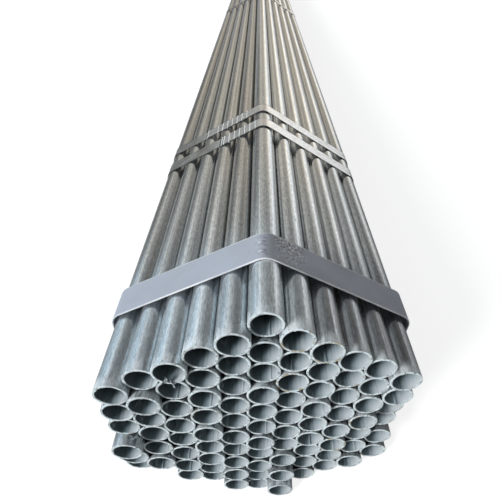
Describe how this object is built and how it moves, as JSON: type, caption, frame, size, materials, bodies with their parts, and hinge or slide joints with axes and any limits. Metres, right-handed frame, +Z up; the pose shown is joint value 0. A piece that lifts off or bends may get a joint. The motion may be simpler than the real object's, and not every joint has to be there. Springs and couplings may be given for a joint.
{
  "type": "bundle of steel tubes",
  "caption": "Hexagonal bundle of long galvanised round steel tubes, tied by wide flat bands near its ends and by narrow steel straps between them.",
  "frame": {"origin": "on the floor, under the middle of the bundle", "axes": "+X across the bundle, +Y along the tubes away from the pictured end, +Z up"},
  "size_m": [0.3874, 6.0456, 0.3346],
  "materials": {
    "tube_zinc": "hot-dip zinc",
    "band_steel": "satin grey",
    "strap_steel": "bright zinc"
  },
  "bodies": {
    "root": {"tubes_row_01": "tube_zinc", "tubes_row_02": "tube_zinc", "tubes_row_03": "tube_zinc", "tubes_row_04": "tube_zinc", "tubes_row_05": "tube_zinc", "tubes_row_06": "tube_zinc", "tubes_row_07": "tube_zinc", "tubes_row_08": "tube_zinc", "tubes_row_09": "tube_zinc", "tubes_row_10": "tube_zinc", "tubes_row_11": "tube_zinc", "band_front": "band_steel", "band_rear": "band_steel", "strap_front_outer": "strap_steel", "strap_front_inner": "strap_steel", "strap_front_single": "strap_steel", "strap_rear_single": "strap_steel", "strap_rear_inner": "strap_steel", "strap_rear_outer": "strap_steel"}
  },
  "joints": []
}
